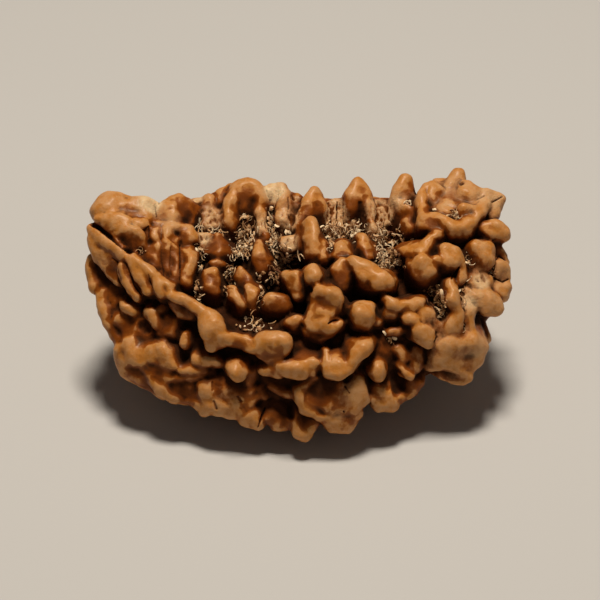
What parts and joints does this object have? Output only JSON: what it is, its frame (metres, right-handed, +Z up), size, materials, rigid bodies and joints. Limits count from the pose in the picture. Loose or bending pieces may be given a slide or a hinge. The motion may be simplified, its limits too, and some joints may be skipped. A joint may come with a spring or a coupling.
{
  "type": "rudraksha bead",
  "caption": "Half-moon rudraksha bead, a dried fruit stone with a knobbly ridged shell, a straight spiky edge and a furrow along it, lying on a small flat spot.",
  "frame": {"origin": "on the surface it rests on, below the middle of its box", "axes": "+X along the bead's length, +Z up as it lies, and the furrowed face turned to -Y and up"},
  "size_m": [0.0266, 0.0146, 0.0133],
  "materials": {
    "shell": "waxy amber-brown, softly glossy, darker in the creases, with matte tan worn patches"
  },
  "bodies": {
    "root": {"rudraksha_bead": "shell"}
  },
  "joints": []
}
